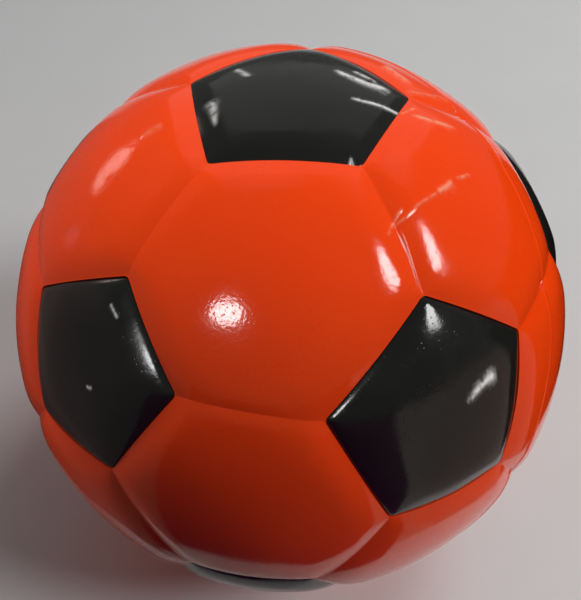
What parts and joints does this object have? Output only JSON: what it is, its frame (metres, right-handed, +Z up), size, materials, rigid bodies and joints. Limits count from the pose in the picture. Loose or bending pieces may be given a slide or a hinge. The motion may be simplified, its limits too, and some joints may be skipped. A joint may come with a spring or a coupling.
{
  "type": "foam ball",
  "caption": "Soft moulded foam play ball with a football pattern: black pentagon panels in a glossy orange skin, with a groove along every seam.",
  "frame": {"origin": "centre of the ball", "axes": "+Z up, away from the patch that the ball rests on; the middle of one black pentagon lies on +Z and of another on -Z; -Y is the side that the picture was taken from"},
  "size_m": [0.1, 0.0998, 0.0995],
  "materials": {
    "orange_coat": "glossy elastomer coat with fine pores",
    "black_coat": "glossy elastomer coat",
    "foam": "soft open-cell polyurethane foam"
  },
  "bodies": {
    "root": {"foam_core": "foam", "orange_skin": "orange_coat", "pentagon_top": "black_coat", "pentagon_upper_right": "black_coat", "pentagon_upper_back": "black_coat", "pentagon_upper_left": "black_coat", "pentagon_upper_front_left": "black_coat", "pentagon_upper_front_right": "black_coat", "pentagon_lower_back_right": "black_coat", "pentagon_lower_back_left": "black_coat", "pentagon_lower_left": "black_coat", "pentagon_lower_front": "black_coat", "pentagon_lower_right": "black_coat", "pentagon_base": "black_coat"}
  },
  "joints": []
}
